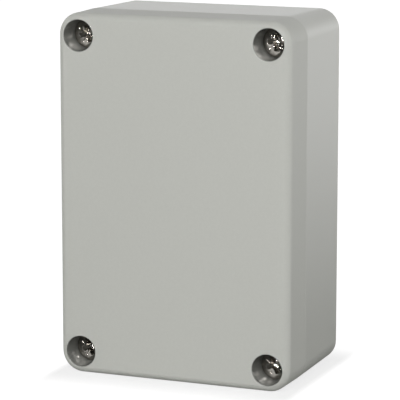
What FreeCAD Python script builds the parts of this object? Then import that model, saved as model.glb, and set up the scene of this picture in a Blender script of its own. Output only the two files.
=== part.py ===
import FreeCAD, Part
import math
import os

# Small sealed enclosure, moulded in two halves and closed by four captive screws.
# Millimetres. The box stands on its short end: X is its width, +Z is up and the lid faces -Y.
# The origin is under the middle of the box, at its lowest point.

# Outer shell
WIDTH = 66.0
HEIGHT = 98.0
LID_DEPTH = 12.5
BASE_DEPTH = 27.0
CORNER_RADIUS = 6.0
LID_EDGE_RADIUS = 2.0
BACK_EDGE_BREAK = 0.8
LID_DRAFT_DEG = 0.5
BASE_DRAFT_DEG = 0.8
RIM_BREAK = 0.2

# Walls of the two mouldings
BASE_WALL = 2.8
BASE_FLOOR = 2.6
FRONT_PLATE = 3.0
CHAMBER_OUTER_RADIUS = 2.5
CHAMBER_INNER_RADIUS = 3.5

# Seal between the halves: a tongue on the base, a groove and a locating lip on the lid
TONGUE_THICKNESS = 1.2
TONGUE_HEIGHT = 1.6
SEAL_CLEARANCE = 0.3
GASKET_THICKNESS = 1.6
GASKET_SIDE_GAP = 0.05
LIP_THICKNESS = 1.1
LIP_REACH = 1.5

# Holes for wall fixing, each at the bottom of a well outside the seal
FIXING_INSET_X = 15.0
FIXING_INSET_Z = 6.0
FIXING_HOLE_RADIUS = 2.25
WELL_RADIUS = 4.2
WELL_FLOOR = 3.5
SEAL_WALL = 2.8

# Lid screws, M4
SCREW_INSET = 6.1
COUNTERBORE_RADIUS = 4.2
COUNTERBORE_DEPTH = 8.5
SCREW_HOLE_RADIUS = 2.25
HEAD_RADIUS = 4.0
HEAD_HEIGHT = 2.6
HEAD_EDGE_HEIGHT = 1.6
HEAD_FLAT_RADIUS = 3.2
SHANK_RADIUS = 2.0
NECK_RADIUS = 1.6
THREAD_ENGAGEMENT = 6.5

# Cross recess
RECESS_DEPTH = 2.0
RECESS_REACH = 2.25
RECESS_FOOT_REACH = 0.9
RECESS_WIDTH = 1.15
RECESS_FOOT_WIDTH = 0.75
RECESS_CORE_RADIUS = 1.25
RECESS_CORE_FOOT_RADIUS = 0.5

# Snap ring on each screw's neck, which keeps the screw in the lid
RING_THICKNESS = 1.0
RING_RUNNING_CLEARANCE = 0.08
RING_SIDE_CLEARANCE = 0.05
RING_SLOT_WIDTH = 2.6
RING_BORE_CLEARANCE = 0.4
RELEASE_TRAVEL = 7.0
RING_STOP_GAP = 0.2
RING_INSERT_GAP = 0.3

# Brass insert in each corner column
INSERT_RADIUS = 3.0
INSERT_LENGTH = 8.0
INSERT_SEAT_CLEARANCE = 0.05
THREAD_CLEARANCE = 0.06

# Pillars for a circuit board on the floor of the base
PILLAR_INSET_X = 11.0
PILLAR_INSET_Z = 22.0
PILLAR_RADIUS = 3.0
PILLAR_HEIGHT = 5.0
PILLAR_HOLE_RADIUS = 1.25
PILLAR_HOLE_DEPTH = 5.5

# Angle at which each screw came to rest, and its corner as signs along X and Z
SCREW_CORNERS = {
    "top_left": (-1, 1, 22.0),
    "top_right": (1, 1, 32.0),
    "bottom_left": (-1, -1, 68.0),
    "bottom_right": (1, -1, 48.0),
}

# Places that follow from the sizes
MIDDLE_Z = HEIGHT / 2
FRONT_Y = -(LID_DEPTH + BASE_DEPTH) / 2
SPLIT_Y = FRONT_Y + LID_DEPTH
BACK_Y = SPLIT_Y + BASE_DEPTH
FLOOR_Y = BACK_Y - BASE_FLOOR
SEAT_Y = FRONT_Y + COUNTERBORE_DEPTH
FIXING_PITCH_X = WIDTH - 2 * FIXING_INSET_X
FIXING_PITCH_Z = HEIGHT - 2 * FIXING_INSET_Z
PILLAR_PITCH_X = WIDTH - 2 * PILLAR_INSET_X
PILLAR_PITCH_Z = HEIGHT - 2 * PILLAR_INSET_Z
SCREW_X = WIDTH / 2 - SCREW_INSET
SCREW_Z = HEIGHT / 2 - SCREW_INSET
RING_Y = SPLIT_Y + RING_STOP_GAP + RELEASE_TRAVEL
INSERT_Y = RING_Y + RING_THICKNESS + RING_INSERT_GAP
TIP_Y = INSERT_Y + THREAD_ENGAGEMENT
COLUMN_BORE_RADIUS = INSERT_RADIUS + INSERT_SEAT_CLEARANCE
RING_RADIUS = COLUMN_BORE_RADIUS - RING_BORE_CLEARANCE
GROOVE_FLOOR_Y = SPLIT_Y - TONGUE_HEIGHT - GASKET_THICKNESS

ALONG_Y = FreeCAD.Vector(0, 1, 0)


def tangent(degrees):
    return math.tan(math.radians(degrees))


def rounded_wire(corners, y):
    """Closed outline in the plane at y. Each corner is (x, height above the middle, radius)."""
    points = [FreeCAD.Vector(x, y, MIDDLE_Z + z) for x, z, _ in corners]
    arcs = []
    for i, here in enumerate(points):
        radius = corners[i][2]
        to_last = (points[i - 1] - here).normalize()
        to_next = (points[(i + 1) % len(points)] - here).normalize()
        half = to_last.getAngle(to_next) / 2
        reach = radius / math.tan(half)
        middle = (to_last + to_next).normalize() * (radius / math.sin(half) - radius)
        arcs.append((here + to_last * reach, here + middle, here + to_next * reach))
    edges = []
    for i, (start, middle, stop) in enumerate(arcs):
        edges.append(Part.LineSegment(arcs[i - 1][2], start).toShape())
        edges.append(Part.Arc(start, middle, stop).toShape())
    return Part.Wire(edges)


def shell_outline(y, inset):
    """Outer outline of the box, taken in by inset all round."""
    x = WIDTH / 2 - inset
    z = HEIGHT / 2 - inset
    radius = CORNER_RADIUS - inset
    return rounded_wire([(x, z, radius), (x, -z, radius), (-x, -z, radius), (-x, z, radius)], y)


def chamber_outline(y, grow):
    """Outline of the sealed chamber, which steps in around the wells and the screws."""
    side = WIDTH / 2 - BASE_WALL + grow
    end = HEIGHT / 2 - BASE_WALL + grow
    arm = FIXING_PITCH_X / 2 - WELL_RADIUS - SEAL_WALL + grow
    nearest = min(FIXING_PITCH_Z / 2 - WELL_RADIUS, SCREW_Z - COUNTERBORE_RADIUS)
    step = nearest - SEAL_WALL + grow
    out = CHAMBER_OUTER_RADIUS + grow
    inn = CHAMBER_INNER_RADIUS - grow
    quarter = [(arm, end, out), (arm, step, inn), (side, step, out)]
    corners = list(quarter)
    corners += [(x, -z, radius) for x, z, radius in reversed(quarter)]
    corners += [(-x, -z, radius) for x, z, radius in quarter]
    corners += [(-x, z, radius) for x, z, radius in reversed(quarter)]
    return rounded_wire(corners, y)


def block(outline, y, length):
    return Part.Face(outline(y)).extrude(ALONG_Y * length)


def chamber_ring(outer_grow, inner_grow, y, length):
    """Closed rib that follows the chamber's outline, between two offsets of it."""
    outer = block(lambda depth: chamber_outline(depth, outer_grow), y, length)
    inner = block(lambda depth: chamber_outline(depth, inner_grow), y, length)
    return outer.cut(inner)


def cylinder(x, z, radius, y, length):
    return Part.makeCylinder(radius, length, FreeCAD.Vector(x, y, MIDDLE_Z + z), ALONG_Y)


def edges_in_plane(solid, y):
    return [edge for edge in solid.Edges
            if all(abs(vertex.Point.y - y) < 1e-6 for vertex in edge.Vertexes)]


def four_places(pitch_x, pitch_z):
    return [(sx * pitch_x / 2, sz * pitch_z / 2) for sx in (-1, 1) for sz in (-1, 1)]


def revolved(profile):
    """Solid turned about the Y axis from a closed list of (radius, y) points."""
    wire = Part.makePolygon([FreeCAD.Vector(radius, y, 0) for radius, y in profile])
    return Part.Face(wire).revolve(FreeCAD.Vector(0, 0, 0), ALONG_Y, 360)


def placed(solid, x, y, z, turn=0.0):
    """Copy turned about Y and moved to (x, y) and z above the middle of the box."""
    copy = solid.copy()
    copy.rotate(FreeCAD.Vector(0, 0, 0), ALONG_Y, turn)
    copy.translate(FreeCAD.Vector(x, y, MIDDLE_Z + z))
    return copy


def base_housing():
    """Back half: drafted shell, stepped chamber, wells, corner columns, tongue and pillars."""
    taper = BASE_DEPTH * tangent(BASE_DRAFT_DEG)
    shell = Part.makeLoft([
        shell_outline(SPLIT_Y, RIM_BREAK),
        shell_outline(SPLIT_Y + RIM_BREAK, 0.0),
        shell_outline(BACK_Y - BACK_EDGE_BREAK, taper),
        shell_outline(BACK_Y, taper + BACK_EDGE_BREAK),
    ], True, True)
    chamber = block(lambda y: chamber_outline(y, 0.0), SPLIT_Y, FLOOR_Y - SPLIT_Y)
    base = shell.cut(chamber)
    base = base.fuse(chamber_ring(TONGUE_THICKNESS, 0.0, SPLIT_Y - TONGUE_HEIGHT, TONGUE_HEIGHT))
    base = base.fuse(board_pillars())
    cuts = []
    for x, z in four_places(FIXING_PITCH_X, FIXING_PITCH_Z):
        cuts.append(cylinder(x, z, WELL_RADIUS, SPLIT_Y, BASE_DEPTH - WELL_FLOOR))
        cuts.append(cylinder(x, z, FIXING_HOLE_RADIUS, SPLIT_Y, BASE_DEPTH))
    for x, z in four_places(2 * SCREW_X, 2 * SCREW_Z):
        cuts.append(cylinder(x, z, COLUMN_BORE_RADIUS, SPLIT_Y, INSERT_Y + INSERT_LENGTH - SPLIT_Y))
    for x, z in four_places(PILLAR_PITCH_X, PILLAR_PITCH_Z):
        top = FLOOR_Y - PILLAR_HEIGHT
        cuts.append(cylinder(x, z, PILLAR_HOLE_RADIUS, top, PILLAR_HOLE_DEPTH))
    return base.cut(cuts).removeSplitter()


def board_pillars():
    return [cylinder(x, z, PILLAR_RADIUS, FLOOR_Y - PILLAR_HEIGHT, PILLAR_HEIGHT + BASE_FLOOR / 2)
            for x, z in four_places(PILLAR_PITCH_X, PILLAR_PITCH_Z)]


def lid():
    """Front half: drafted shell with a rounded front edge, seal groove and screw counterbores."""
    taper = LID_DEPTH * tangent(LID_DRAFT_DEG)
    shell = Part.makeLoft([
        shell_outline(FRONT_Y, taper),
        shell_outline(SPLIT_Y - RIM_BREAK, 0.0),
        shell_outline(SPLIT_Y, RIM_BREAK),
    ], True, True)
    shell = shell.makeFillet(LID_EDGE_RADIUS, edges_in_plane(shell, FRONT_Y))
    plate_y = FRONT_Y + FRONT_PLATE
    lip_y = SPLIT_Y + LIP_REACH
    lip_inside = -SEAL_CLEARANCE - LIP_THICKNESS
    lip = block(lambda y: chamber_outline(y, -SEAL_CLEARANCE), SPLIT_Y, LIP_REACH)
    hollow = block(lambda y: chamber_outline(y, lip_inside), plate_y, lip_y - plate_y)
    groove_outside = TONGUE_THICKNESS + SEAL_CLEARANCE
    groove = chamber_ring(groove_outside, -SEAL_CLEARANCE, GROOVE_FLOOR_Y, SPLIT_Y - GROOVE_FLOOR_Y)
    cuts = [hollow, groove]
    for x, z in four_places(2 * SCREW_X, 2 * SCREW_Z):
        cuts.append(cylinder(x, z, COUNTERBORE_RADIUS, FRONT_Y, COUNTERBORE_DEPTH))
        cuts.append(cylinder(x, z, SCREW_HOLE_RADIUS, FRONT_Y, LID_DEPTH))
    return shell.fuse(lip).cut(cuts).removeSplitter()


def lid_gasket():
    """Soft cord that lies in the lid's groove, pressed flat by the tongue."""
    outside = TONGUE_THICKNESS + SEAL_CLEARANCE - GASKET_SIDE_GAP
    inside = -SEAL_CLEARANCE + GASKET_SIDE_GAP
    return chamber_ring(outside, inside, GROOVE_FLOOR_Y, GASKET_THICKNESS)


def cross_recess():
    """Tool that cuts the recess. The top of the head is at y = 0 and the head lies behind it."""
    half, foot_half = RECESS_WIDTH / 2, RECESS_FOOT_WIDTH / 2
    wing = Part.makeWedge(-RECESS_REACH, 0, -half, -foot_half, -RECESS_FOOT_REACH,
                          RECESS_REACH, RECESS_DEPTH, half, foot_half, RECESS_FOOT_REACH)
    core = Part.makeCone(RECESS_CORE_RADIUS, RECESS_CORE_FOOT_RADIUS, RECESS_DEPTH,
                         FreeCAD.Vector(0, 0, 0), ALONG_Y)
    wings = [placed(wing, 0, 0, -MIDDLE_Z, turn) for turn in (0, 90)]
    return core.fuse(wings).removeSplitter()


def lid_screw():
    """Pan-head screw whose thread starts behind a neck. The seat under the head is at y = 0."""
    thread = RING_Y + RING_THICKNESS + RING_SIDE_CLEARANCE - SEAT_Y
    tip = TIP_Y - SEAT_Y
    top = -HEAD_HEIGHT
    body = revolved([
        (0.0, top),
        (HEAD_FLAT_RADIUS, top),
        (HEAD_RADIUS, -HEAD_EDGE_HEIGHT),
        (HEAD_RADIUS, 0.0),
        (NECK_RADIUS, 0.0),
        (NECK_RADIUS, thread),
        (SHANK_RADIUS, thread),
        (SHANK_RADIUS, tip),
        (0.0, tip),
        (0.0, top),
    ])
    return body.cut(placed(cross_recess(), 0, top, -MIDDLE_Z))


def snap_ring():
    """Split ring on the screw's neck, with a slot to push it on. Its front face is at y = 0."""
    bore = NECK_RADIUS + RING_RUNNING_CLEARANCE
    ring = Part.makeCylinder(RING_RADIUS, RING_THICKNESS, FreeCAD.Vector(0, 0, 0), ALONG_Y)
    ring = ring.cut(Part.makeCylinder(bore, RING_THICKNESS, FreeCAD.Vector(0, 0, 0), ALONG_Y))
    slot = Part.makeBox(RING_RADIUS, RING_THICKNESS, RING_SLOT_WIDTH)
    slot.translate(FreeCAD.Vector(0, 0, -RING_SLOT_WIDTH / 2))
    return ring.cut(slot)


def thread_insert():
    """Brass insert that takes the thread. Its mouth is at y = 0."""
    bore = SHANK_RADIUS + THREAD_CLEARANCE
    return revolved([
        (bore, 0.0),
        (INSERT_RADIUS, 0.0),
        (INSERT_RADIUS, INSERT_LENGTH),
        (bore, INSERT_LENGTH),
        (bore, 0.0),
    ])


def build():
    nodes = {"base_housing": base_housing(), "lid": lid(), "lid_gasket": lid_gasket()}
    screw, ring, insert = lid_screw(), snap_ring(), thread_insert()
    for corner, (sx, sz, turn) in SCREW_CORNERS.items():
        x, z = sx * SCREW_X, sz * SCREW_Z
        nodes["lid_screw_" + corner] = placed(screw, x, SEAT_Y, z, turn)
        nodes["snap_ring_" + corner] = placed(ring, x, RING_Y, z, turn)
        nodes["thread_insert_" + corner] = placed(insert, x, INSERT_Y, z)
    return nodes


def main():
    os.makedirs("parts", exist_ok=True)
    for name, shape in build().items():
        shape.exportStep(os.path.join("parts", name + ".step"))
        print(name, len(shape.Solids), round(shape.Volume, 2), shape.isValid())


if __name__ == "__main__":
    main()
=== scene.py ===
import math

import bmesh
import bpy
from bpy.props import FloatProperty, FloatVectorProperty, IntProperty, PointerProperty
from mathutils import Euler, Matrix, Vector


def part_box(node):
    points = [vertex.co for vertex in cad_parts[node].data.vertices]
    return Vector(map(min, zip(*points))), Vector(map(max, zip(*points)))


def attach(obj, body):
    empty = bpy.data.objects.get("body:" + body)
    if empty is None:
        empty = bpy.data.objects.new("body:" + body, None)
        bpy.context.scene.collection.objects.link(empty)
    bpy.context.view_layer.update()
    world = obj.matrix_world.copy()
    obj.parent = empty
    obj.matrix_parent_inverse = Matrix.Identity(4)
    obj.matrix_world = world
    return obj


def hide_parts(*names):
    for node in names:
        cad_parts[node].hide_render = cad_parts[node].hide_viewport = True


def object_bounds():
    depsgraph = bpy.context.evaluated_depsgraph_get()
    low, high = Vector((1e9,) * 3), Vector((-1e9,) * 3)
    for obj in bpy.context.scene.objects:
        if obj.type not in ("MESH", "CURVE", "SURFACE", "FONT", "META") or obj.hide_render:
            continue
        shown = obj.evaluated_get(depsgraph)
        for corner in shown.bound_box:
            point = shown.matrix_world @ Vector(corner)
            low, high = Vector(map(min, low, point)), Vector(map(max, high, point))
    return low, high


bl_info = {
    "name": "Sealed Enclosure",
    "version": (1, 0, 0),
    "blender": (4, 5, 0),
    "location": "3D View > Sidebar > Enclosure",
    "description": "Builds the looks of a small sealed electrical enclosure around its CAD frame",
    "category": "Object",
}

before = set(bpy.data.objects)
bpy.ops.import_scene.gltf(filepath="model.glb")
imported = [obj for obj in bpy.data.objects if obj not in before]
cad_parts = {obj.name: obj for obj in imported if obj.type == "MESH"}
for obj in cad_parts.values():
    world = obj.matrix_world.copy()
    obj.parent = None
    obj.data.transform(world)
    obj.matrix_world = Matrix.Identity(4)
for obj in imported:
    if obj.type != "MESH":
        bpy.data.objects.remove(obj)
cad_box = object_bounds()

# All sizes are in metres. The lid faces -Y, +Z is up, and the origin is under the box's middle.
MM = 0.001
CORNERS = ("top_left", "top_right", "bottom_left", "bottom_right")

# Attribute of the screws that gives the way outwards from their axis, across the turning marks.
OUTWARDS = "outwards"

# Two points of the CAD meshes this close together are one point, and two of their triangles that
# meet at less than this many degrees are one flat face.
WELD_DISTANCE = 0.002 * MM
FLAT_ANGLE = 0.2

# Degrees from which an edge is shaded sharp, and from which it is rounded.
SHARP_ANGLE = 30
EDGE_ANGLE = 35

# The CAD's outline at the plane where lid and base meet, and the break along both rims there.
PARTING_Y = -7.25 * MM
OUTLINE_RADIUS = 6.0 * MM
RIM_BREAK = 0.2 * MM

# The lid's sharp edges this close behind its front are the mouths of its counterbores.
MOUTHS_BEHIND_FRONT = 3 * MM


def linear(colour):
    """Linear RGB of an sRGB hex colour such as #BABBB4."""
    parts = [int(colour[i:i + 2], 16) / 255 for i in (1, 3, 5)]
    return [c / 12.92 if c <= 0.04045 else ((c + 0.055) / 1.055) ** 2.4 for c in parts]


def size_property(label, description, millimetres):
    return FloatProperty(name=label, description=description, default=millimetres * MM,
                         unit="LENGTH", precision=5, step=0.01)


def colour_property(label, description, colour):
    return FloatVectorProperty(name=label, description=description, default=linear(colour),
                               subtype="COLOR", min=0.0, max=1.0)


def angle_property(label, description, degrees):
    return FloatProperty(name=label, description=description, default=math.radians(degrees),
                         subtype="ANGLE", unit="ROTATION")


class ShellSettings(bpy.types.PropertyGroup):
    lid_colour: colour_property(
        "Lid Colour", "Light grey of the lid's moulding", "#BCBDB7")
    base_colour: colour_property(
        "Base Colour", "Light grey of the base's moulding", "#BEBFB9")
    mouth_radius: size_property(
        "Mouth Radius", "Radius at the mouths of the screw holes", 0.3)
    edge_radius: size_property(
        "Edge Radius", "Radius left by the mould on edges that the CAD leaves sharp", 0.12)
    rim_radius: size_property(
        "Rim Radius", "Radius along the outer rims, where the two halves meet", 0.05)
    grain: size_property(
        "Grain", "Width of one pit of the spark-eroded texture", 0.35)


class SealSettings(bpy.types.PropertyGroup):
    colour: colour_property(
        "Colour", "Dark grey of the foamed rubber cord", "#3A3B3D")
    edge_radius: size_property(
        "Edge Radius", "How far the pressed cord is rounded along its edges", 0.4)


class ScrewSettings(bpy.types.PropertyGroup):
    colour: colour_property(
        "Nickel Colour", "Slightly warm grey of dull nickel plate", "#B4B0AA")
    head_height: size_property(
        "Head Height", "Height of the pan head above its seat", 2.6)
    edge_height: size_property(
        "Edge Height", "Height of the head's upright edge above its seat", 1.95)
    neck_radius: size_property(
        "Neck Radius", "Radius of the plain neck between head and thread", 1.6)
    thread_start: size_property(
        "Thread Start", "Distance from the seat to the first turn of the thread", 12.25)
    thread_pitch: size_property(
        "Thread Pitch", "Distance from one turn of the thread to the next", 0.7)
    thread_radius: size_property(
        "Thread Radius", "Outer radius of the thread", 1.98)
    recess_reach: size_property(
        "Recess Reach", "Distance from the middle to the end of a wing of the cross", 2.5)
    recess_width: size_property(
        "Recess Width", "Width of a wing of the cross at the top of the head", 1.25)
    recess_depth: size_property(
        "Recess Depth", "Depth of the cross at its middle", 2.0)
    turn_top_left: angle_property(
        "Top Left", "Angle at which this screw came to rest", 72.0)
    turn_top_right: angle_property(
        "Top Right", "Angle at which this screw came to rest", 2.0)
    turn_bottom_left: angle_property(
        "Bottom Left", "Angle at which this screw came to rest", 67.0)
    turn_bottom_right: angle_property(
        "Bottom Right", "Angle at which this screw came to rest", 70.0)


class SmallPartSettings(bpy.types.PropertyGroup):
    ring_colour: colour_property(
        "Ring Colour", "Undyed nylon of the snap rings", "#E4DFD0")
    ring_edge: size_property(
        "Ring Edge", "Radius along the edges of a snap ring", 0.15)
    brass_colour: colour_property(
        "Brass Colour", "Turned brass of the inserts", "#C9A767")
    insert_bore: size_property(
        "Insert Bore", "Radius of the bore that takes the thread", 2.06)
    knurl_depth: size_property(
        "Knurl Depth", "Depth of the grooves between two knurls", 0.22)
    knurl_count: IntProperty(
        name="Knurl Count", description="Number of knurls round an insert", default=30, min=8)


class StageSettings(bpy.types.PropertyGroup):
    floor_colour: colour_property(
        "Floor Colour", "Pale colour of the table", "#EDEDEC")
    azimuth: angle_property(
        "Azimuth", "Camera's turn to the right of the lid's middle", 22.413)
    elevation: angle_property(
        "Elevation", "Camera's height as an angle", 10.535)
    distance: size_property(
        "Distance", "Distance from the camera to the middle of the view", 645.45)
    focal_length: size_property(
        "Focal Length", "Focal length for a film 36 mm wide", 214.63)
    view_right: size_property(
        "View Right", "How far the box's middle stands to the right of the view's middle", 0.183)
    view_up: size_property(
        "View Up", "How far the box's middle stands above the view's middle", 2.7)


SETTINGS = {
    "enclosure_shell": ShellSettings,
    "enclosure_seal": SealSettings,
    "enclosure_screws": ScrewSettings,
    "enclosure_small_parts": SmallPartSettings,
    "enclosure_stage": StageSettings,
}


# Meshes

def add_object(name, mesh):
    obj = bpy.data.objects.new(name, mesh)
    bpy.context.scene.collection.objects.link(obj)
    return obj


def object_from(bm, name):
    mesh = bpy.data.meshes.new(name)
    bm.to_mesh(mesh)
    bm.free()
    return add_object(name, mesh)


def evaluated_copy(obj, name):
    """Plain mesh object with obj's modifiers applied. obj is removed."""
    depsgraph = bpy.context.evaluated_depsgraph_get()
    mesh = bpy.data.meshes.new_from_object(obj.evaluated_get(depsgraph))
    bpy.data.objects.remove(obj)
    mesh.name = name
    return add_object(name, mesh)


def smooth_shading(obj, sharp_above=SHARP_ANGLE):
    """Smooth faces, with edges kept sharp where two faces meet at more than that many degrees."""
    obj.data.shade_smooth()
    obj.data.set_sharp_from_angle(angle=math.radians(sharp_above))


def merged_copy(node):
    """Copy of a CAD node's mesh with its loose triangles joined and its flat faces made whole."""
    bm = bmesh.new()
    bm.from_mesh(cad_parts[node].data)
    bmesh.ops.remove_doubles(bm, verts=bm.verts, dist=WELD_DISTANCE)
    bmesh.ops.dissolve_limit(bm, angle_limit=math.radians(FLAT_ANGLE), verts=bm.verts,
                             edges=bm.edges)
    bmesh.ops.recalc_face_normals(bm, faces=bm.faces)
    return bm


def round_edges(obj, radius, segments=2, above=EDGE_ANGLE):
    """Rounds edges above that angle in degrees, or with above=None by their bevel weights."""
    bevel = obj.modifiers.new("Rounded edges", "BEVEL")
    bevel.width = radius
    bevel.segments = segments
    bevel.limit_method = "WEIGHT" if above is None else "ANGLE"
    bevel.angle_limit = math.radians(above or 0)
    bevel.loop_slide = False
    normals = obj.modifiers.new("Flat faces stay flat", "WEIGHTED_NORMAL")
    normals.keep_sharp = True


def turned(profile, sides):
    """Closed mesh turned about the Y axis from (radius, y) points. Its ends lie on the axis."""
    bm = bmesh.new()
    angles = [2 * math.pi * i / sides for i in range(sides)]
    rings = []
    for radius, y in profile:
        if radius == 0:
            rings.append([bm.verts.new((0, y, 0))] * sides)
        else:
            rings.append([bm.verts.new((radius * math.cos(a), y, radius * math.sin(a)))
                          for a in angles])
    for near, far in zip(rings, rings[1:]):
        for i in range(sides):
            j = (i + 1) % sides
            corners = [near[i], near[j], far[j], far[i]]
            bm.faces.new(list(dict.fromkeys(corners)))
    bmesh.ops.recalc_face_normals(bm, faces=bm.faces)
    return bm


def tapered_block(near, far, depth):
    """Block along Y whose ends are rectangles. near and far are their half sizes along X and Z."""
    bm = bmesh.new()
    ends = []
    for (half_x, half_z), y in ((near, 0.0), (far, depth)):
        ends.append([bm.verts.new((sx * half_x, y, sz * half_z))
                     for sx, sz in ((-1, -1), (1, -1), (1, 1), (-1, 1))])
    for i in range(4):
        j = (i + 1) % 4
        bm.faces.new((ends[0][i], ends[0][j], ends[1][j], ends[1][i]))
    bm.faces.new(ends[0])
    bm.faces.new(ends[1])
    bmesh.ops.recalc_face_normals(bm, faces=bm.faces)
    return bm


def cut_with(obj, cutters):
    """Cuts the cutters out of obj one after another, and removes them."""
    for cutter in cutters:
        cut = obj.modifiers.new("Cut", "BOOLEAN")
        cut.operation = "DIFFERENCE"
        cut.solver = "EXACT"
        cut.object = cutter
    result = evaluated_copy(obj, obj.name)
    for cutter in cutters:
        bpy.data.objects.remove(cutter)
    return result


# Nodes

# Noise stays about between these two, so what follows it is spread over them.
NOISE_LOW, NOISE_HIGH = 0.3, 0.7

# Keeps what runs across the screws, which lie along Y, or across the Z axis.
ACROSS_SCREWS = (1, 0, 1)
ACROSS_Z = (1, 1, 0)


def add_node(tree, kind, values=None, **settings):
    """Adds a node. values gives its inputs by name or number, as values, sockets or nodes.

    A node stands for its first output.
    """
    node = tree.nodes.new(kind)
    for key, value in settings.items():
        setattr(node, key, value)
    for key, value in (values or {}).items():
        if isinstance(value, bpy.types.Node):
            value = value.outputs[0]
        if isinstance(value, bpy.types.NodeSocket):
            tree.links.new(value, node.inputs[key])
        else:
            node.inputs[key].default_value = value
    return node


def new_material(name):
    """Empty material, and its tree."""
    material = bpy.data.materials.new(name)
    material.use_nodes = True
    material.node_tree.nodes.clear()
    return material, material.node_tree


def uneven(tree, cell, *ranges, detail=2.0, stretch=(1, 1, 1)):
    """Cloudy pattern in the object's own space, whose patches are about one cell wide.

    Returns it, and for each (low, high) of ranges a value that goes between the two with it.
    """
    place = add_node(tree, "ShaderNodeTexCoord").outputs["Object"]
    spread = add_node(tree, "ShaderNodeMapping", {"Vector": place, "Scale": stretch})
    pattern = add_node(tree, "ShaderNodeTexNoise", {
        "Vector": spread, "Scale": 0.5 / cell, "Detail": detail})
    following = [add_node(tree, "ShaderNodeMapRange", {
        "Value": pattern, "From Min": NOISE_LOW, "From Max": NOISE_HIGH,
        "To Min": low, "To Max": high}) for low, high in ranges]
    return pattern, *following


def end_surface(tree, colour, shade, surface, bumps=None):
    """Ends a material with a Principled shader, whose sockets surface gives.

    The colour is multiplied by a shade near 1. bumps has the pattern of their height, their
    strength from 0 to 1, and how high they stand.
    """
    shaded = add_node(tree, "ShaderNodeVectorMath", {0: tuple(colour), "Scale": shade},
                      operation="SCALE")
    if bumps:
        sockets = dict(zip(("Height", "Strength", "Distance"), bumps))
        surface = {**surface, "Normal": add_node(tree, "ShaderNodeBump", sockets)}
    shader = add_node(tree, "ShaderNodeBsdfPrincipled", {**surface, "Base Color": shaded})
    add_node(tree, "ShaderNodeOutputMaterial", {"Surface": shader})


# Moulded ABS. Its pits and the clouds where the melt flowed change its shade a little.
PIT_SHADE = (0.985, 1.015)
PIT_ROUGHNESS = 0.04
PIT_STRENGTH = 0.35
PIT_HEIGHT = 0.006 * MM
FLOW_WIDTH = 22 * MM
FLOW_SHADE = (0.993, 1.007)
FLOW_STRETCH = (1, 1, 0.4)

# The walls of the counterbores have a high polish and are darkened with painted shade: how far they
# reach from a screw's axis and behind the front of its head, how smooth they are, how much of their
# colour the painted shade takes away, and what they lose of the pits.
POLISHED_AND_SHADED_RADIUS = 4.35 * MM
POLISHED_AND_SHADED_BEHIND_HEAD = 2.7 * MM
POLISHED_ROUGHNESS = 0.12
BORE_PAINTED_SHADE_LOSS = 0.4
POLISHED_PIT_LOSS = 0.3


def in_counterbores(tree):
    """1 around the screws' axes and in front of their seats, 0 elsewhere."""
    low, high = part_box("lid_screw_top_right")
    centre = (cad_box[0] + cad_box[1]) / 2
    axis = ((low.x + high.x) / 2 - centre.x, 0, (low.z + high.z) / 2 - centre.z)
    place = add_node(tree, "ShaderNodeTexCoord").outputs["Object"]
    offset = add_node(tree, "ShaderNodeVectorMath", {0: place, 1: centre}, operation="SUBTRACT")
    folded = add_node(tree, "ShaderNodeVectorMath", {0: offset}, operation="ABSOLUTE")
    across = add_node(tree, "ShaderNodeVectorMath", {0: folded, 1: ACROSS_SCREWS},
                      operation="MULTIPLY")
    away = add_node(tree, "ShaderNodeVectorMath", {0: across, 1: axis}, operation="DISTANCE")
    near = add_node(tree, "ShaderNodeMath", {0: away.outputs["Value"], 1: POLISHED_AND_SHADED_RADIUS},
                    operation="LESS_THAN")
    y = add_node(tree, "ShaderNodeSeparateXYZ", {"Vector": place}).outputs["Y"]
    in_front = add_node(tree, "ShaderNodeMath", {0: y, 1: low.y + POLISHED_AND_SHADED_BEHIND_HEAD},
                        operation="LESS_THAN")
    return add_node(tree, "ShaderNodeMath", {0: near, 1: in_front}, operation="MULTIPLY")


def moulded_abs(name, colour, roughness, shine, grain, counterbored):
    """Moulded ABS in light grey. The mould was spark-eroded, so fine pits break up its reflections.

    Real pits are about 0.05 mm wide, too fine to show, so the grain is drawn coarser. The pins that
    form the counterbores have a high polish, so their walls shine. Their colour is also darkened
    there, painted shade that makes them look deeper.
    """
    material, tree = new_material(name)
    pits, pit_shade, rough = uneven(
        tree, grain, PIT_SHADE, (roughness - PIT_ROUGHNESS, roughness + PIT_ROUGHNESS), detail=3.0)
    _, flow_shade = uneven(tree, FLOW_WIDTH, FLOW_SHADE, detail=1.0, stretch=FLOW_STRETCH)
    shade = add_node(tree, "ShaderNodeMath", {0: pit_shade, 1: flow_shade}, operation="MULTIPLY")
    strength = PIT_STRENGTH
    if counterbored:
        polish_and_painted_shade = in_counterbores(tree)
        # Painted shade: the colour of the counterbore walls is darkened, as if less light reached
        # them.
        darker = add_node(tree, "ShaderNodeMath", {0: polish_and_painted_shade, 1: -BORE_PAINTED_SHADE_LOSS, 2: 1.0},
                          operation="MULTIPLY_ADD")
        shade = add_node(tree, "ShaderNodeMath", {0: darker, 1: shade}, operation="MULTIPLY")
        rough = add_node(tree, "ShaderNodeMath", {
            0: polish_and_painted_shade, 1: POLISHED_ROUGHNESS - roughness, 2: rough}, operation="MULTIPLY_ADD")
        strength = add_node(tree, "ShaderNodeMath", {
            0: polish_and_painted_shade, 1: -POLISHED_PIT_LOSS, 2: PIT_STRENGTH}, operation="MULTIPLY_ADD")
    end_surface(tree, colour, shade, {
        "IOR": 1.53, "Specular IOR Level": shine, "Roughness": rough}, (pits, strength, PIT_HEIGHT))
    return material


def foamed_rubber(colour):
    """Foamed polyurethane rubber: matt, with open pores that show as darker dots."""
    material, tree = new_material("Foamed rubber")
    pore_width, pore_depth = 0.3 * MM, 0.03 * MM
    pores, shade = uneven(tree, pore_width, (0.75, 1.2), detail=4.0)
    end_surface(tree, colour, shade, {"IOR": 1.5, "Roughness": 0.85}, (pores, 0.5, pore_depth))
    return material


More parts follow.
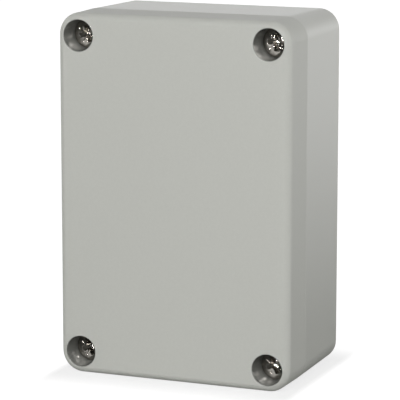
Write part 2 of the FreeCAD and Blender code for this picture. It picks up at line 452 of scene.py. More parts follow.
def nickel_plate(colour):
    """Bright nickel on steel. Turning marks run round it and spread its reflections outwards.

    Real marks are about 0.05 mm apart, too fine to show, so the shader's anisotropy stands for
    them. A slight stain dulls the plate here and there, and it isn't quite flat.
    """
    material, tree = new_material("Nickel plate")
    wave_width, wave_height, stain_width = 0.9 * MM, 0.006 * MM, 1.6 * MM
    waves, = uneven(tree, wave_width, detail=1.0)
    _, shade, roughness = uneven(tree, stain_width, (0.9, 1.04), (0.11, 0.15), detail=3.0)
    outwards = add_node(tree, "ShaderNodeAttribute", attribute_name=OUTWARDS)
    end_surface(tree, colour, shade, {
        "Metallic": 1.0, "Anisotropic": 0.95, "Tangent": outwards.outputs["Vector"],
        "Roughness": roughness}, (waves, 0.3, wave_height))
    return material


def natural_nylon(colour):
    """Undyed nylon: waxy, so a little light goes in and softens its shadows."""
    material, tree = new_material("Natural nylon")
    cloud_width, scatter = 0.8 * MM, 0.5 * MM
    _, shade = uneven(tree, cloud_width, (0.96, 1.03))
    end_surface(tree, colour, shade, {
        "IOR": 1.53, "Roughness": 0.42, "Subsurface Weight": 0.25,
        "Subsurface Radius": (1.0, 0.8, 0.6), "Subsurface Scale": scatter})
    return material


def turned_brass(colour):
    """Brass turned on a lathe, whose fine rings run round the insert and spread its reflections.

    Real rings are about 0.03 mm apart, too fine to show, so they are drawn 0.1 mm apart.
    """
    material, tree = new_material("Turned brass")
    ring_width, round_the_insert = 0.4 * MM, (0.15, 4, 0.15)
    _, shade, roughness = uneven(tree, ring_width, (0.88, 1.05), (0.22, 0.38), detail=2.0,
                                 stretch=round_the_insert)
    end_surface(tree, colour, shade, {"Metallic": 1.0, "Roughness": roughness})
    return material


def put_material(obj, material):
    obj.data.materials.clear()
    obj.data.materials.append(material)


def hand_over(obj, body, nodes):
    """Puts this finished piece on the body that it rides on, and hides the CAD nodes that it stands
    for.
    """
    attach(obj, body)
    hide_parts(*nodes)


# Geometry Nodes

def new_tree(name, inputs):
    """Geometry tree with inputs, given as (name, kind of socket). Returns it and its two ends."""
    tree = bpy.data.node_groups.new(name, "GeometryNodeTree")
    tree.interface.new_socket(name="Geometry", in_out="INPUT", socket_type="NodeSocketGeometry")
    for label, kind in inputs:
        tree.interface.new_socket(name=label, in_out="INPUT", socket_type="NodeSocket" + kind)
    tree.interface.new_socket(name="Geometry", in_out="OUTPUT", socket_type="NodeSocketGeometry")
    return tree, add_node(tree, "NodeGroupInput"), add_node(tree, "NodeGroupOutput")


def use_tree(obj, tree, values):
    """Gives obj a modifier that runs the tree with these values for its named inputs."""
    modifier = obj.modifiers.new(tree.name, "NODES")
    modifier.node_group = tree
    for item in tree.interface.items_tree:
        if item.in_out == "INPUT" and item.name in values:
            modifier[item.identifier] = values[item.name]


def finish_tree(tree, end, geometry, material):
    """Ends a tree: instances made real, smooth faces, and one material."""
    real = add_node(tree, "GeometryNodeRealizeInstances", {"Geometry": geometry})
    smooth = add_node(tree, "GeometryNodeSetShadeSmooth", {"Geometry": real})
    painted = add_node(tree, "GeometryNodeSetMaterial", {"Geometry": smooth, "Material": material})
    tree.links.new(painted.outputs["Geometry"], end.inputs["Geometry"])


def polar(tree):
    """Radius, angle and height of a point about the Z axis."""
    place = add_node(tree, "GeometryNodeInputPosition")
    x, y, z = add_node(tree, "ShaderNodeSeparateXYZ", {"Vector": place}).outputs
    across = add_node(tree, "ShaderNodeVectorMath", {0: place, 1: ACROSS_Z}, operation="MULTIPLY")
    radius = add_node(tree, "ShaderNodeVectorMath", {0: across}, operation="LENGTH")
    angle = add_node(tree, "ShaderNodeMath", {0: y, 1: x}, operation="ARCTAN2")
    return radius.outputs["Value"], angle, z


def point_at(tree, radius, angle, height):
    """The point at that radius, angle and height about the Z axis."""
    cosine = add_node(tree, "ShaderNodeMath", {0: angle}, operation="COSINE")
    sine = add_node(tree, "ShaderNodeMath", {0: angle}, operation="SINE")
    return add_node(tree, "ShaderNodeCombineXYZ", {
        "X": add_node(tree, "ShaderNodeMath", {0: radius, 1: cosine}, operation="MULTIPLY"),
        "Y": add_node(tree, "ShaderNodeMath", {0: radius, 1: sine}, operation="MULTIPLY"),
        "Z": height})


# Turns what stands on the Z axis to lie along Y, and one full turn.
LAID_ALONG_Y = (-math.pi / 2, 0, 0)
FULL_TURN = 2 * math.pi

# Sides of the screw's shank, and how many times its full height the thread's wave would reach:
# above 1, so that the crests are flat.
SHANK_SIDES = 48
FLAT_CRESTS = 1.2


def screw_tree():
    """Sets a threaded shank behind a screw head, and puts the screw in its place.

    The thread is a cylinder along Z whose radius is a wave: it rises and falls once per pitch, and
    one pitch further on for each turn. It runs out at its start and is pointed at its tip.
    """
    tree, start, end = new_tree("Threaded screw", [
        ("Head", "Object"), ("Thread Start", "Float"), ("Thread Length", "Float"),
        ("Thread Radius", "Float"), ("Core Radius", "Float"), ("Pitch", "Float"), ("Rows", "Int"),
        ("Seat", "Vector"), ("Turn", "Vector"), ("Material", "Material")])
    given = start.outputs
    bar = add_node(tree, "GeometryNodeMeshCylinder", {
        "Vertices": SHANK_SIDES, "Side Segments": given["Rows"], "Radius": given["Thread Radius"],
        "Depth": given["Thread Length"]})
    _, angle, height = polar(tree)
    half = add_node(tree, "ShaderNodeMath", {0: given["Thread Length"], 1: 0.5},
                    operation="MULTIPLY")
    along = add_node(tree, "ShaderNodeMath", {0: height, 1: half}, operation="ADD")
    run_in = add_node(tree, "ShaderNodeMath", {0: along, 1: given["Pitch"]}, operation="DIVIDE")
    turned_by = add_node(tree, "ShaderNodeMath", {0: angle, 1: FULL_TURN}, operation="DIVIDE")
    turns = add_node(tree, "ShaderNodeMath", {0: run_in, 1: turned_by}, operation="SUBTRACT")
    zigzag = add_node(tree, "ShaderNodeMath", {0: turns, 1: 0.5}, operation="PINGPONG")
    wave = add_node(tree, "ShaderNodeMath", {0: zigzag, 1: 2 * FLAT_CRESTS}, operation="MULTIPLY")
    ahead = add_node(tree, "ShaderNodeMath", {0: given["Thread Length"], 1: along},
                     operation="SUBTRACT")
    to_tip = add_node(tree, "ShaderNodeMath", {0: ahead, 1: given["Pitch"]}, operation="DIVIDE")
    flat = add_node(tree, "ShaderNodeMath", {0: wave, 1: 1.0}, operation="MINIMUM")
    ends = add_node(tree, "ShaderNodeMath", {0: run_in, 1: to_tip}, operation="MINIMUM")
    crest = add_node(tree, "ShaderNodeMath", {0: flat, 1: ends}, operation="MINIMUM")
    depth = add_node(tree, "ShaderNodeMath", {0: given["Thread Radius"], 1: given["Core Radius"]},
                     operation="SUBTRACT")
    radius = add_node(tree, "ShaderNodeMath", {0: depth, 1: crest, 2: given["Core Radius"]},
                      operation="MULTIPLY_ADD")
    threaded = add_node(tree, "GeometryNodeSetPosition", {
        "Geometry": bar, "Position": point_at(tree, radius, angle, height)})
    middle = add_node(tree, "ShaderNodeMath", {0: given["Thread Start"], 1: half}, operation="ADD")
    shank = add_node(tree, "GeometryNodeTransform", {
        "Geometry": threaded, "Rotation": LAID_ALONG_Y,
        "Translation": add_node(tree, "ShaderNodeCombineXYZ", {"Y": middle})})
    head = add_node(tree, "GeometryNodeObjectInfo", {"Object": given["Head"]})
    screw = add_node(tree, "GeometryNodeJoinGeometry", {"Geometry": shank})
    tree.links.new(head.outputs["Geometry"], screw.inputs["Geometry"])
    placed = add_node(tree, "GeometryNodeTransform", {
        "Geometry": screw, "Translation": given["Seat"], "Rotation": given["Turn"]})
    from_seat = add_node(tree, "ShaderNodeVectorMath", {
        0: add_node(tree, "GeometryNodeInputPosition"), 1: given["Seat"]}, operation="SUBTRACT")
    across = add_node(tree, "ShaderNodeVectorMath", {0: from_seat, 1: ACROSS_SCREWS},
                      operation="MULTIPLY")
    unit = add_node(tree, "ShaderNodeVectorMath", {0: across}, operation="NORMALIZE")
    marked = add_node(tree, "GeometryNodeStoreNamedAttribute", {
        "Geometry": placed, "Name": OUTWARDS, "Value": unit}, data_type="FLOAT_VECTOR")
    finish_tree(tree, end, marked, given["Material"])
    return tree


def insert_tree():
    """Knurls a sleeve that stands on the Z axis, and puts one in each corner of a rectangle."""
    tree, start, end = new_tree("Knurled inserts", [
        ("Sleeve", "Object"), ("Knurls", "Int"), ("Depth", "Float"), ("Smooth Radius", "Float"),
        ("Pitch X", "Float"), ("Pitch Z", "Float"), ("Middle", "Vector"),
        ("Material", "Material")])
    given = start.outputs
    sleeve = add_node(tree, "GeometryNodeObjectInfo", {"Object": given["Sleeve"]})
    radius, angle, height = polar(tree)
    turned_by = add_node(tree, "ShaderNodeMath", {0: angle, 1: FULL_TURN}, operation="DIVIDE")
    knurls = add_node(tree, "ShaderNodeMath", {0: turned_by, 1: given["Knurls"]},
                      operation="MULTIPLY")
    zigzag = add_node(tree, "ShaderNodeMath", {0: knurls, 1: 0.5}, operation="PINGPONG")
    groove = add_node(tree, "ShaderNodeMath", {0: zigzag, 1: 2.0}, operation="MULTIPLY")
    depth = add_node(tree, "ShaderNodeMath", {0: groove, 1: given["Depth"]}, operation="MULTIPLY")
    outside = add_node(tree, "ShaderNodeMath", {0: radius, 1: given["Smooth Radius"]},
                       operation="GREATER_THAN")
    cut = add_node(tree, "ShaderNodeMath", {0: depth, 1: outside}, operation="MULTIPLY")
    knurled_radius = add_node(tree, "ShaderNodeMath", {0: radius, 1: cut}, operation="SUBTRACT")
    knurled = add_node(tree, "GeometryNodeSetPosition", {
        "Geometry": sleeve.outputs["Geometry"],
        "Position": point_at(tree, knurled_radius, angle, height)})
    corners = add_node(tree, "GeometryNodeMeshGrid", {
        "Size X": given["Pitch X"], "Size Y": given["Pitch Z"], "Vertices X": 2, "Vertices Y": 2})
    each = add_node(tree, "GeometryNodeInstanceOnPoints", {"Points": corners, "Instance": knurled})
    placed = add_node(tree, "GeometryNodeTransform", {
        "Geometry": each, "Translation": given["Middle"], "Rotation": LAID_ALONG_Y})
    finish_tree(tree, end, placed, given["Material"])
    return tree


# Pieces

def inside_outline(point):
    """How far a point lies inside the box's rounded outline, and the way out to it."""
    low, high = cad_box
    middle = (low + high) / 2
    from_corner = Vector((abs(point.x - middle.x) - (high.x - middle.x - OUTLINE_RADIUS),
                          abs(point.z - middle.z) - (high.z - middle.z - OUTLINE_RADIUS)))
    beyond = Vector((max(from_corner.x, 0), max(from_corner.y, 0)))
    inside = OUTLINE_RADIUS - beyond.length - min(max(from_corner), 0)
    if beyond.length == 0:
        beyond = Vector((1, 0)) if from_corner.x > from_corner.y else Vector((0, 1))
    beyond.normalize()
    return inside, Vector((math.copysign(beyond.x, point.x - middle.x), 0,
                           math.copysign(beyond.y, point.z - middle.z)))


def shell_object(node, name, shell):
    """Half of the shell. Its outer rim is brought close to the other half's, and each kind of edge
    is rounded by its own radius.
    """
    bm = merged_copy(node)
    rim = [v for v in bm.verts if abs(v.co.y - PARTING_Y) < WELD_DISTANCE]
    for vert in rim:
        inside, way_out = inside_outline(vert.co)
        if inside < RIM_BREAK + WELD_DISTANCE:
            vert.co += way_out * (RIM_BREAK - shell.rim_radius)
    weights = bm.edges.layers.float.new("bevel_weight_edge")
    front = cad_box[0].y
    for edge in bm.edges:
        if not edge.is_manifold or edge.calc_face_angle() < math.radians(EDGE_ANGLE):
            continue
        radius = shell.edge_radius
        ys = [v.co.y for v in edge.verts]
        if max(ys) < front + MOUTHS_BEHIND_FRONT:
            radius = shell.mouth_radius
        elif min(ys) > PARTING_Y - WELD_DISTANCE and max(ys) < PARTING_Y + WELD_DISTANCE:
            if inside_outline(edge.verts[0].co)[0] < RIM_BREAK:
                radius = shell.rim_radius
        edge[weights] = radius / shell.mouth_radius
    half = object_from(bm, name)
    smooth_shading(half)
    round_edges(half, shell.mouth_radius, segments=3, above=None)
    return half


def build_base(shell):
    base = shell_object("base_housing", "base_shell", shell)
    put_material(base, moulded_abs("Moulded ABS base", shell.base_colour, roughness=0.38,
                                   shine=0.5, grain=shell.grain, counterbored=False))
    hand_over(base, "base", ["base_housing"])


def build_lid(shell):
    lid = shell_object("lid", "lid_shell", shell)
    put_material(lid, moulded_abs("Moulded ABS lid", shell.lid_colour, roughness=0.5,
                                  shine=0.35, grain=shell.grain, counterbored=True))
    hand_over(lid, "lid", ["lid"])


def build_gasket(seal):
    """The cord as it lies in the groove, with round edges where it is pressed into the corners."""
    cord = object_from(merged_copy("lid_gasket"), "gasket_cord")
    smooth_shading(cord)
    round_edges(cord, seal.edge_radius, segments=4)
    put_material(cord, foamed_rubber(seal.colour))
    hand_over(cord, "lid", ["lid_gasket"])


def pan_head_profile(sizes, radius):
    """(radius, y) points of head and neck, with the seat under the head at y = 0.

    The crown is a quarter of a superellipse, which gives the flat top and the round shoulder of a
    pan head.
    """
    exponent = 2.8
    crown = sizes.head_height - sizes.edge_height
    profile = [(0.0, -sizes.head_height)]
    steps = 18
    for i in range(1, steps + 1):
        angle = math.pi / 2 * i / steps
        out = radius * math.sin(angle) ** (2 / exponent)
        up = crown * max(math.cos(angle), 0.0) ** (2 / exponent) if i < steps else 0.0
        profile.append((out, -sizes.edge_height - up))
    under_edge = 0.12 * MM
    neck_fillet = 0.2 * MM
    neck_end = sizes.thread_start + 0.1 * MM
    profile += [
        (radius, -under_edge),
        (radius - under_edge, 0.0),
        (sizes.neck_radius + neck_fillet, 0.0),
        (sizes.neck_radius, neck_fillet),
        (sizes.neck_radius, neck_end),
        (0.0, neck_end),
    ]
    return profile


def recess_cutters(sizes):
    """Cross with tapered wings and a conical middle, and four short marks between the wings."""
    half = sizes.recess_width / 2
    above = 0.3 * MM
    depth = sizes.recess_depth + above
    mouth_size = (sizes.recess_reach + above / 2, half + above / 8)
    foot_size = (0.4 * sizes.recess_reach, 0.65 * half)
    cutters = []
    for quarter in range(2):
        wing = tapered_block(mouth_size, foot_size, depth)
        bmesh.ops.rotate(wing, verts=wing.verts, cent=(0, 0, 0),
                         matrix=Matrix.Rotation(math.pi / 2 * quarter, 3, "Y"))
        cutters.append(object_from(wing, "wing"))
    core_mouth, core_foot, core_tip = 1.3 * MM, 0.5 * MM, 0.25 * MM
    core = turned([(0.0, 0.0), (core_mouth, 0.0), (core_foot, depth), (0.0, depth + core_tip)], 32)
    cutters.append(object_from(core, "core"))
    mark_size = (0.75 * MM, 0.14 * MM)
    mark_depth = 0.45 * MM
    mark_from_middle = 2.15 * MM
    for quarter in range(4):
        mark = tapered_block(mark_size, mark_size, above + mark_depth)
        bmesh.ops.translate(mark, verts=mark.verts, vec=(mark_from_middle, 0, 0))
        bmesh.ops.rotate(mark, verts=mark.verts, cent=(0, 0, 0),
                         matrix=Matrix.Rotation(math.pi / 2 * (quarter + 0.5), 3, "Y"))
        cutters.append(object_from(mark, "mark"))
    for cutter in cutters:
        cutter.data.transform(Matrix.Translation((0, -sizes.head_height - above, 0)))
    return cutters


# The screws: sides of the head, degrees from which its edges are sharp and their small radius,
# rows of points along one pitch of the thread, and degrees from which its edges are sharp.
HEAD_SIDES = 96
HEAD_SHARP_ANGLE = 25
HEAD_EDGE_RADIUS = 0.05 * MM
ROWS_PER_PITCH = 10
THREAD_SHARP_ANGLE = 40


def build_screws(sizes):
    """One head is cut for all four, and Geometry Nodes add its thread and put it in place."""
    low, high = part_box("lid_screw_top_left")
    radius = (high.x - low.x) / 2
    head = object_from(turned(pan_head_profile(sizes, radius), HEAD_SIDES), "pan_head")
    head = cut_with(head, recess_cutters(sizes))
    smooth_shading(head, HEAD_SHARP_ANGLE)
    round_edges(head, HEAD_EDGE_RADIUS, above=HEAD_SHARP_ANGLE)
    head = evaluated_copy(head, "pan_head")
    nickel = nickel_plate(sizes.colour)
    tree = screw_tree()
    length = high.y - low.y - sizes.head_height - sizes.thread_start
    for corner in CORNERS:
        low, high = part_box("lid_screw_" + corner)
        seat = ((low.x + high.x) / 2, low.y + sizes.head_height, (low.z + high.z) / 2)
        carrier = add_object("carrier", bpy.data.meshes.new("carrier"))
        use_tree(carrier, tree, {
            "Head": head, "Thread Start": sizes.thread_start, "Thread Length": length,
            "Thread Radius": sizes.thread_radius, "Core Radius": sizes.neck_radius,
            "Pitch": sizes.thread_pitch,
            "Rows": round(length / sizes.thread_pitch * ROWS_PER_PITCH),
            "Seat": seat, "Turn": (0, getattr(sizes, "turn_" + corner), 0), "Material": nickel})
        screw = evaluated_copy(carrier, "captive_screw_" + corner)
        smooth_shading(screw, THREAD_SHARP_ANGLE)
        hand_over(screw, "screw_" + corner, ["lid_screw_" + corner])
    bpy.data.objects.remove(head)


def build_rings(sizes):
    nylon = natural_nylon(sizes.ring_colour)
    for corner in CORNERS:
        ring = object_from(merged_copy("snap_ring_" + corner), "retaining_ring_" + corner)
        smooth_shading(ring)
        round_edges(ring, sizes.ring_edge, segments=3)
        put_material(ring, nylon)
        hand_over(ring, "ring_" + corner, ["snap_ring_" + corner])


def sleeve_profile(sizes, radius, length):
    """(radius, height) points round the insert's wall: two bands, a waist between them, a lead."""
    mouth = 0.25 * MM
    edge = 0.15 * MM
    waist = 0.35 * MM
    lead = 0.35 * MM
    third = length / 3
    gap = 0.5 * MM
    return [
        (sizes.insert_bore + mouth, 0.0),
        (radius - edge, 0.0),
        (radius, edge),
        (radius, third),
        (radius - waist, third + gap / 2),
        (radius - waist, 2 * third - gap / 2),
        (radius, 2 * third),
        (radius, length - lead),
        (radius - lead, length),
        (sizes.insert_bore, length),
        (sizes.insert_bore, mouth),
    ]


# The inserts: points round one knurl, how deep under the surface knurling stops, and degrees from
# which an edge is sharp.
POINTS_PER_KNURL = 6
KNURL_SKIN = 0.1 * MM
KNURL_SHARP_ANGLE = 25


def build_inserts(sizes):
    """All four inserts are one mesh, because they ride on the base."""
    low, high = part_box("thread_insert_bottom_left")
    far_low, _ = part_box("thread_insert_top_right")
    radius, length = (high.x - low.x) / 2, high.y - low.y
    sides = POINTS_PER_KNURL * sizes.knurl_count
    angles = [2 * math.pi * i / sides for i in range(sides)]
    bm = bmesh.new()
    rings = [[bm.verts.new((out * math.cos(a), out * math.sin(a), along - length / 2))
              for a in angles] for out, along in sleeve_profile(sizes, radius, length)]
    for near, far in zip(rings, rings[1:] + rings[:1]):
        for i in range(sides):
            j = (i + 1) % sides
            bm.faces.new((near[i], near[j], far[j], far[i]))
    bmesh.ops.recalc_face_normals(bm, faces=bm.faces)
    sleeve = object_from(bm, "sleeve")
    pitch_x, pitch_z = far_low.x - low.x, far_low.z - low.z
    middle = (0.0, (low.y + high.y) / 2, (low.z + high.z) / 2 + pitch_z / 2)
    carrier = add_object("carrier", bpy.data.meshes.new("carrier"))
    use_tree(carrier, insert_tree(), {
        "Sleeve": sleeve, "Knurls": sizes.knurl_count, "Depth": sizes.knurl_depth,
        "Smooth Radius": radius - KNURL_SKIN, "Pitch X": pitch_x, "Pitch Z": pitch_z,
        "Middle": middle, "Material": turned_brass(sizes.brass_colour)})
    inserts = evaluated_copy(carrier, "thread_inserts")
    bpy.data.objects.remove(sleeve)
    smooth_shading(inserts, KNURL_SHARP_ANGLE)
    hand_over(inserts, "base", ["thread_insert_" + corner for corner in CORNERS])


# Stage

# The table, and what is left of its white at the box's foot, where its glow is dimmed into a
# painted shadow and the box's real shadow also shows. The painted shadow falls off five times as
# fast to the sides as to the front and back.
TABLE_HALF_WIDTH = 2.5
PAINTED_SHADOW_WIDTH = 0.02
PAINTED_SHADOW_SHADE = 0.76
PAINTED_SHADOW_FALL = (5, 1, 1)

# What part of its light the table gives to matt faces, to the camera and to glossy faces.
MATT_SHARE, SEEN_SHARE, GLOSSY_SHARE = 0.6, 0.25, 0.05

# How strongly the table glows for glossy faces, painted light, near the box and far from it,
# between these two distances. It glows only behind the box, and the second pair says where along Y
# that begins.
SHINE_NEAR, SHINE_FAR = 0.07, 1.34
SHINE_FROM, SHINE_TO = 0.08, 0.5
BEHIND_FROM, BEHIND_TO = -0.05, 0.1

# What glossy faces see of the world behind the box, a band at the horizon and a bright top. Each
# has how steeply a ray rises where it begins and ends, and the strength of the light there.
WORLD_BANDS = (((0.14, 0.3), (1.97, 0.29)), ((0.4, 0.6), (0.0, 1.7)))
WORLD_BACK = (-0.1, 0.1)


def ray_kinds(tree):
    """Two values: 1 for rays that see the background straight, and 1 for glossy reflections."""
    path = add_node(tree, "ShaderNodeLightPath").outputs
    seen = add_node(tree, "ShaderNodeMath", {
        0: path["Is Camera Ray"], 1: path["Is Transmission Ray"]}, operation="MAXIMUM")
    return seen, path["Is Glossy Ray"]


def build_floor(colour):
    """Pale table. The camera sees it brighter than it lights the box, except close to the box.

    So the background is white. Close to the box the glow is dimmed, a painted shadow at its foot,
    and there the box's real shadow also shows. Glossy faces see the table's far end shine by its
    own glow, painted light, as a white table does under a low light from behind.
    """
    half = TABLE_HALF_WIDTH
    bm = bmesh.new()
    bm.faces.new([bm.verts.new((sx * half, sy * half, 0))
                  for sx, sy in ((-1, -1), (1, -1), (1, 1), (-1, 1))])
    floor = object_from(bm, "table_top")
    material, tree = new_material("Matt white table")
    seen, glossy = ray_kinds(tree)
    straight = add_node(tree, "ShaderNodeMath", {
        0: seen, 1: SEEN_SHARE - MATT_SHARE, 2: MATT_SHARE}, operation="MULTIPLY_ADD")
    share = add_node(tree, "ShaderNodeMath", {
        0: glossy, 1: GLOSSY_SHARE - MATT_SHARE, 2: straight}, operation="MULTIPLY_ADD")
    shaded = add_node(tree, "ShaderNodeVectorMath", {0: tuple(colour), "Scale": share},
                      operation="SCALE")
    board = add_node(tree, "ShaderNodeBsdfDiffuse", {"Color": shaded})
    place = add_node(tree, "ShaderNodeTexCoord").outputs["Object"]
    away = add_node(tree, "ShaderNodeVectorMath", {0: place}, operation="LENGTH")
    # Painted light: the table gives off its own glow for glossy rays, more of it farther from the
    # box.
    shine = add_node(tree, "ShaderNodeMapRange", {
        "Value": away.outputs["Value"], "From Min": SHINE_FROM, "From Max": SHINE_TO,
        "To Min": SHINE_NEAR, "To Max": SHINE_FAR})
    y = add_node(tree, "ShaderNodeSeparateXYZ", {"Vector": place}).outputs["Y"]
    behind = add_node(tree, "ShaderNodeMapRange", {
        "Value": y, "From Min": BEHIND_FROM, "From Max": BEHIND_TO})
    shine_behind = add_node(tree, "ShaderNodeMath", {0: shine, 1: behind}, operation="MULTIPLY")
    folded = add_node(tree, "ShaderNodeVectorMath", {0: place}, operation="ABSOLUTE")
    outside = add_node(tree, "ShaderNodeVectorMath", {
        0: folded, 1: (cad_box[1].x, cad_box[1].y, 0)}, operation="SUBTRACT")
    beside = add_node(tree, "ShaderNodeVectorMath", {0: outside, 1: (0, 0, 0)},
                      operation="MAXIMUM")
    falling = add_node(tree, "ShaderNodeVectorMath", {0: beside, 1: PAINTED_SHADOW_FALL},
                       operation="MULTIPLY")
    gap = add_node(tree, "ShaderNodeVectorMath", {0: falling}, operation="LENGTH")
    # Painted shadow: the glow that the camera sees is dimmed close to the box's foot.
    white = add_node(tree, "ShaderNodeMapRange", {
        "Value": gap.outputs["Value"], "From Max": PAINTED_SHADOW_WIDTH, "To Min": PAINTED_SHADOW_SHADE},
        interpolation_type="SMOOTHSTEP")
    seen_glow = add_node(tree, "ShaderNodeMath", {0: seen, 1: white}, operation="MULTIPLY")
    glow = add_node(tree, "ShaderNodeMath", {0: glossy, 1: shine_behind, 2: seen_glow},
                    operation="MULTIPLY_ADD")
    light = add_node(tree, "ShaderNodeEmission", {"Strength": glow})
    mix = add_node(tree, "ShaderNodeAddShader", {0: board, 1: light})
    add_node(tree, "ShaderNodeOutputMaterial", {"Surface": mix})
    put_material(floor, material)


def build_world():
    """White behind the table. Glossy faces see a bright band at the horizon, and a bright top.

    In a world, Object coordinates are the direction that a ray goes in.
    """
    world = bpy.data.worlds.new("Studio")
    bpy.context.scene.world = world
    world.use_nodes = True
    tree = world.node_tree
    tree.nodes.clear()
    seen, glossy = ray_kinds(tree)
    ray = add_node(tree, "ShaderNodeTexCoord").outputs["Object"]
    split = add_node(tree, "ShaderNodeSeparateXYZ", {"Vector": ray})
    horizon, top = [add_node(tree, "ShaderNodeMapRange", {
        "Value": split.outputs["Z"], "From Min": low, "From Max": high,
        "To Min": at_low, "To Max": at_high})
        for (low, high), (at_low, at_high) in WORLD_BANDS]
    bands = add_node(tree, "ShaderNodeMath", {0: horizon, 1: top}, operation="ADD")
    back = add_node(tree, "ShaderNodeMapRange", {
        "Value": split.outputs["Y"], "From Min": WORLD_BACK[0], "From Max": WORLD_BACK[1]})
    reflected = add_node(tree, "ShaderNodeMath", {0: bands, 1: back}, operation="MULTIPLY")
    strength = add_node(tree, "ShaderNodeMath", {0: glossy, 1: reflected, 2: seen},
                        operation="MULTIPLY_ADD")
    room = add_node(tree, "ShaderNodeBackground", {"Color": (1, 1, 1, 1), "Strength": strength})
    add_node(tree, "ShaderNodeOutputWorld", {"Surface": room})


# Soft boxes: name, place, width, height in metres, power in watts, and what sees them: matt faces,
# glossy faces. Each faces the box's middle.
SOFT_BOXES = (
    ("key", (0.1, -1.3, 0.8), 0.7, 0.7, 10.6, True, True),
    ("left_fill", (-1.0, -1.1, 0.2), 0.6, 0.6, 5.2, True, False),
    ("right_strip", (0.33, -0.90, 0.12), 0.12, 0.6, 2.6, True, True),
    ("right_key", (0.6, -0.6, 0.75), 0.3, 0.3, 1.4, True, True),
    ("right_low", (0.6, 0.1, 0.1), 0.2, 0.2, 1.1, True, True),
    ("back_top", (0.0, 1.2, 0.8), 1.2, 0.6, 0.5, True, True),
    ("back_fill", (0.0, 1.4, 0.06), 0.3, 0.1, 9.0, True, False),
    ("left_back_fill", (-1.2, 0.5, 0.1), 0.3, 0.15, 3.0, True, False),
    ("screw_spark", (-0.1, -0.7, 0.05), 0.05, 0.05, 0.9, False, True),
)


def build_lights():
    middle = (cad_box[0] + cad_box[1]) / 2
    for name, place, width, height, power, on_matt, on_glossy in SOFT_BOXES:
        lamp = bpy.data.lights.new(name, "AREA")
        lamp.shape = "RECTANGLE"
        lamp.size, lamp.size_y = width, height
        lamp.energy = power
        soft_box = add_object(name, lamp)
        soft_box.visible_camera = False
        soft_box.visible_diffuse = on_matt
        soft_box.visible_glossy = on_glossy
        soft_box.location = place
        soft_box.rotation_euler = (middle - Vector(place)).to_track_quat("-Z", "Y").to_euler()


# Width of the film in millimetres, which the focal length goes with.
FILM_WIDTH = 36.0


def build_camera(stage):
    forward = Vector((-math.sin(stage.azimuth) * math.cos(stage.elevation),
                      math.cos(stage.azimuth) * math.cos(stage.elevation),
                      -math.sin(stage.elevation)))
    right = Vector((math.cos(stage.azimuth), math.sin(stage.azimuth), 0))
    up = right.cross(forward)
    middle = Vector((0, 0, (cad_box[0].z + cad_box[1].z) / 2))
    target = middle - stage.view_right * right - stage.view_up * up
    lens = bpy.data.cameras.new("Camera")
    lens.sensor_width = FILM_WIDTH
    lens.lens = stage.focal_length / MM
    lens.dof.use_dof = False
    camera = add_object("Camera", lens)
    camera.location = target - stage.distance * forward
    camera.rotation_euler = Euler((math.pi / 2 - stage.elevation, 0, stage.azimuth))
    bpy.context.scene.camera = camera


# Operators

class ENCLOSURE_OT_base(bpy.types.Operator):
    """Builds the base moulding"""
    bl_idname = "enclosure.base"
    bl_label = "Base"

    def execute(self, context):
        build_base(context.scene.enclosure_shell)
        return {"FINISHED"}


class ENCLOSURE_OT_lid(bpy.types.Operator):
    """Builds the lid moulding"""
    bl_idname = "enclosure.lid"
    bl_label = "Lid"

    def execute(self, context):
        build_lid(context.scene.enclosure_shell)
        return {"FINISHED"}


class ENCLOSURE_OT_gasket(bpy.types.Operator):
    """Builds the rubber cord in the lid's groove"""
    bl_idname = "enclosure.gasket"
    bl_label = "Gasket"

    def execute(self, context):
        build_gasket(context.scene.enclosure_seal)
        return {"FINISHED"}


class ENCLOSURE_OT_screws(bpy.types.Operator):
    """Builds the four captive screws with their cross recesses and threads"""
    bl_idname = "enclosure.screws"
    bl_label = "Screws"

    def execute(self, context):
        build_screws(context.scene.enclosure_screws)
        return {"FINISHED"}


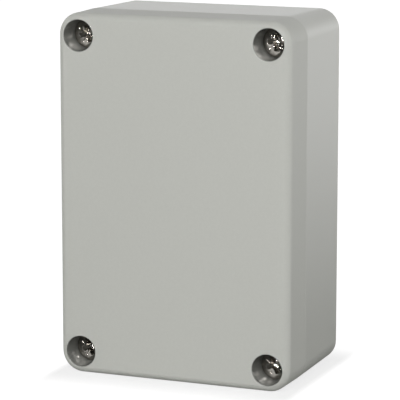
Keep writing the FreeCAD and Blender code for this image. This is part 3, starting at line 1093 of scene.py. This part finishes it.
class ENCLOSURE_OT_rings(bpy.types.Operator):
    """Builds the snap rings that keep the screws in the lid"""
    bl_idname = "enclosure.rings"
    bl_label = "Snap Rings"

    def execute(self, context):
        build_rings(context.scene.enclosure_small_parts)
        return {"FINISHED"}


class ENCLOSURE_OT_inserts(bpy.types.Operator):
    """Builds the knurled brass inserts in the base"""
    bl_idname = "enclosure.inserts"
    bl_label = "Inserts"

    def execute(self, context):
        build_inserts(context.scene.enclosure_small_parts)
        return {"FINISHED"}


class ENCLOSURE_OT_stage(bpy.types.Operator):
    """Builds the table, the light and the camera"""
    bl_idname = "enclosure.stage"
    bl_label = "Stage"

    def execute(self, context):
        stage = context.scene.enclosure_stage
        build_floor(stage.floor_colour)
        build_world()
        build_lights()
        build_camera(stage)
        context.scene.view_settings.view_transform = "Standard"
        return {"FINISHED"}


OPERATORS = (ENCLOSURE_OT_base, ENCLOSURE_OT_lid, ENCLOSURE_OT_gasket, ENCLOSURE_OT_screws,
             ENCLOSURE_OT_rings, ENCLOSURE_OT_inserts, ENCLOSURE_OT_stage)


class ENCLOSURE_PT_panel(bpy.types.Panel):
    """Lists the pieces of the enclosure and their settings"""
    bl_idname = "ENCLOSURE_PT_panel"
    bl_label = "Enclosure"
    bl_space_type = "VIEW_3D"
    bl_region_type = "UI"
    bl_category = "Enclosure"

    def draw(self, context):
        for operator in OPERATORS:
            self.layout.operator(operator.bl_idname)
        for name, group in SETTINGS.items():
            box = self.layout.box()
            for setting in group.__annotations__:
                box.prop(getattr(context.scene, name), setting)


CLASSES = (*SETTINGS.values(), *OPERATORS, ENCLOSURE_PT_panel)


def register():
    for item in CLASSES:
        bpy.utils.register_class(item)
    for name, group in SETTINGS.items():
        setattr(bpy.types.Scene, name, PointerProperty(type=group))


def unregister():
    for name in SETTINGS:
        delattr(bpy.types.Scene, name)
    for item in reversed(CLASSES):
        bpy.utils.unregister_class(item)


def main():
    register()
    bpy.ops.enclosure.base()
    bpy.ops.enclosure.lid()
    bpy.ops.enclosure.gasket()
    bpy.ops.enclosure.screws()
    bpy.ops.enclosure.rings()
    bpy.ops.enclosure.inserts()
    bpy.ops.enclosure.stage()


if __name__ == "__main__":
    main()
